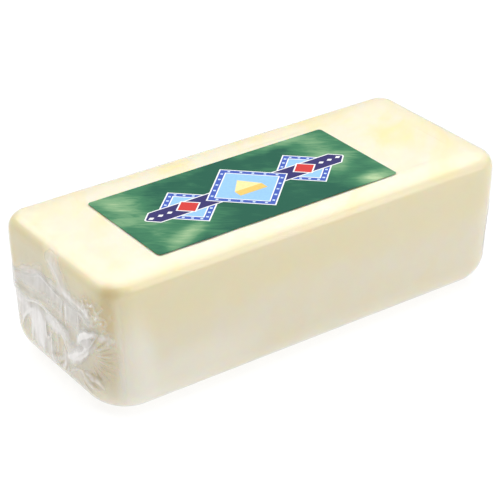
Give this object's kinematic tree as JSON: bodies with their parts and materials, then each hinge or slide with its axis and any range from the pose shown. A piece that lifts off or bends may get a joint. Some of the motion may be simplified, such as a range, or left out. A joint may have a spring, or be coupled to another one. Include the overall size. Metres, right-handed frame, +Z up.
{
  "type": "cheddar block",
  "caption": "Rectangular block of pale cheddar with rounded edges, sealed in clear shrink film with gathered ends and a flat printed label on top.",
  "frame": {"origin": "middle of the flat base that the block stands on", "axes": "+X along the block's length, away from the end that the picture shows; +Y across its width; +Z up through the label"},
  "size_m": [0.2868, 0.1164, 0.0871],
  "materials": {
    "cheddar": "pale cheddar under clear glossy shrink film",
    "label": "printed label, satin",
    "film": "clear shrink film, glossy, whitish where it is doubled"
  },
  "bodies": {
    "root": {"wrapped_cheddar": "cheddar", "label": "label", "film_tail_near": "film", "film_tail_far": "film"}
  },
  "joints": []
}
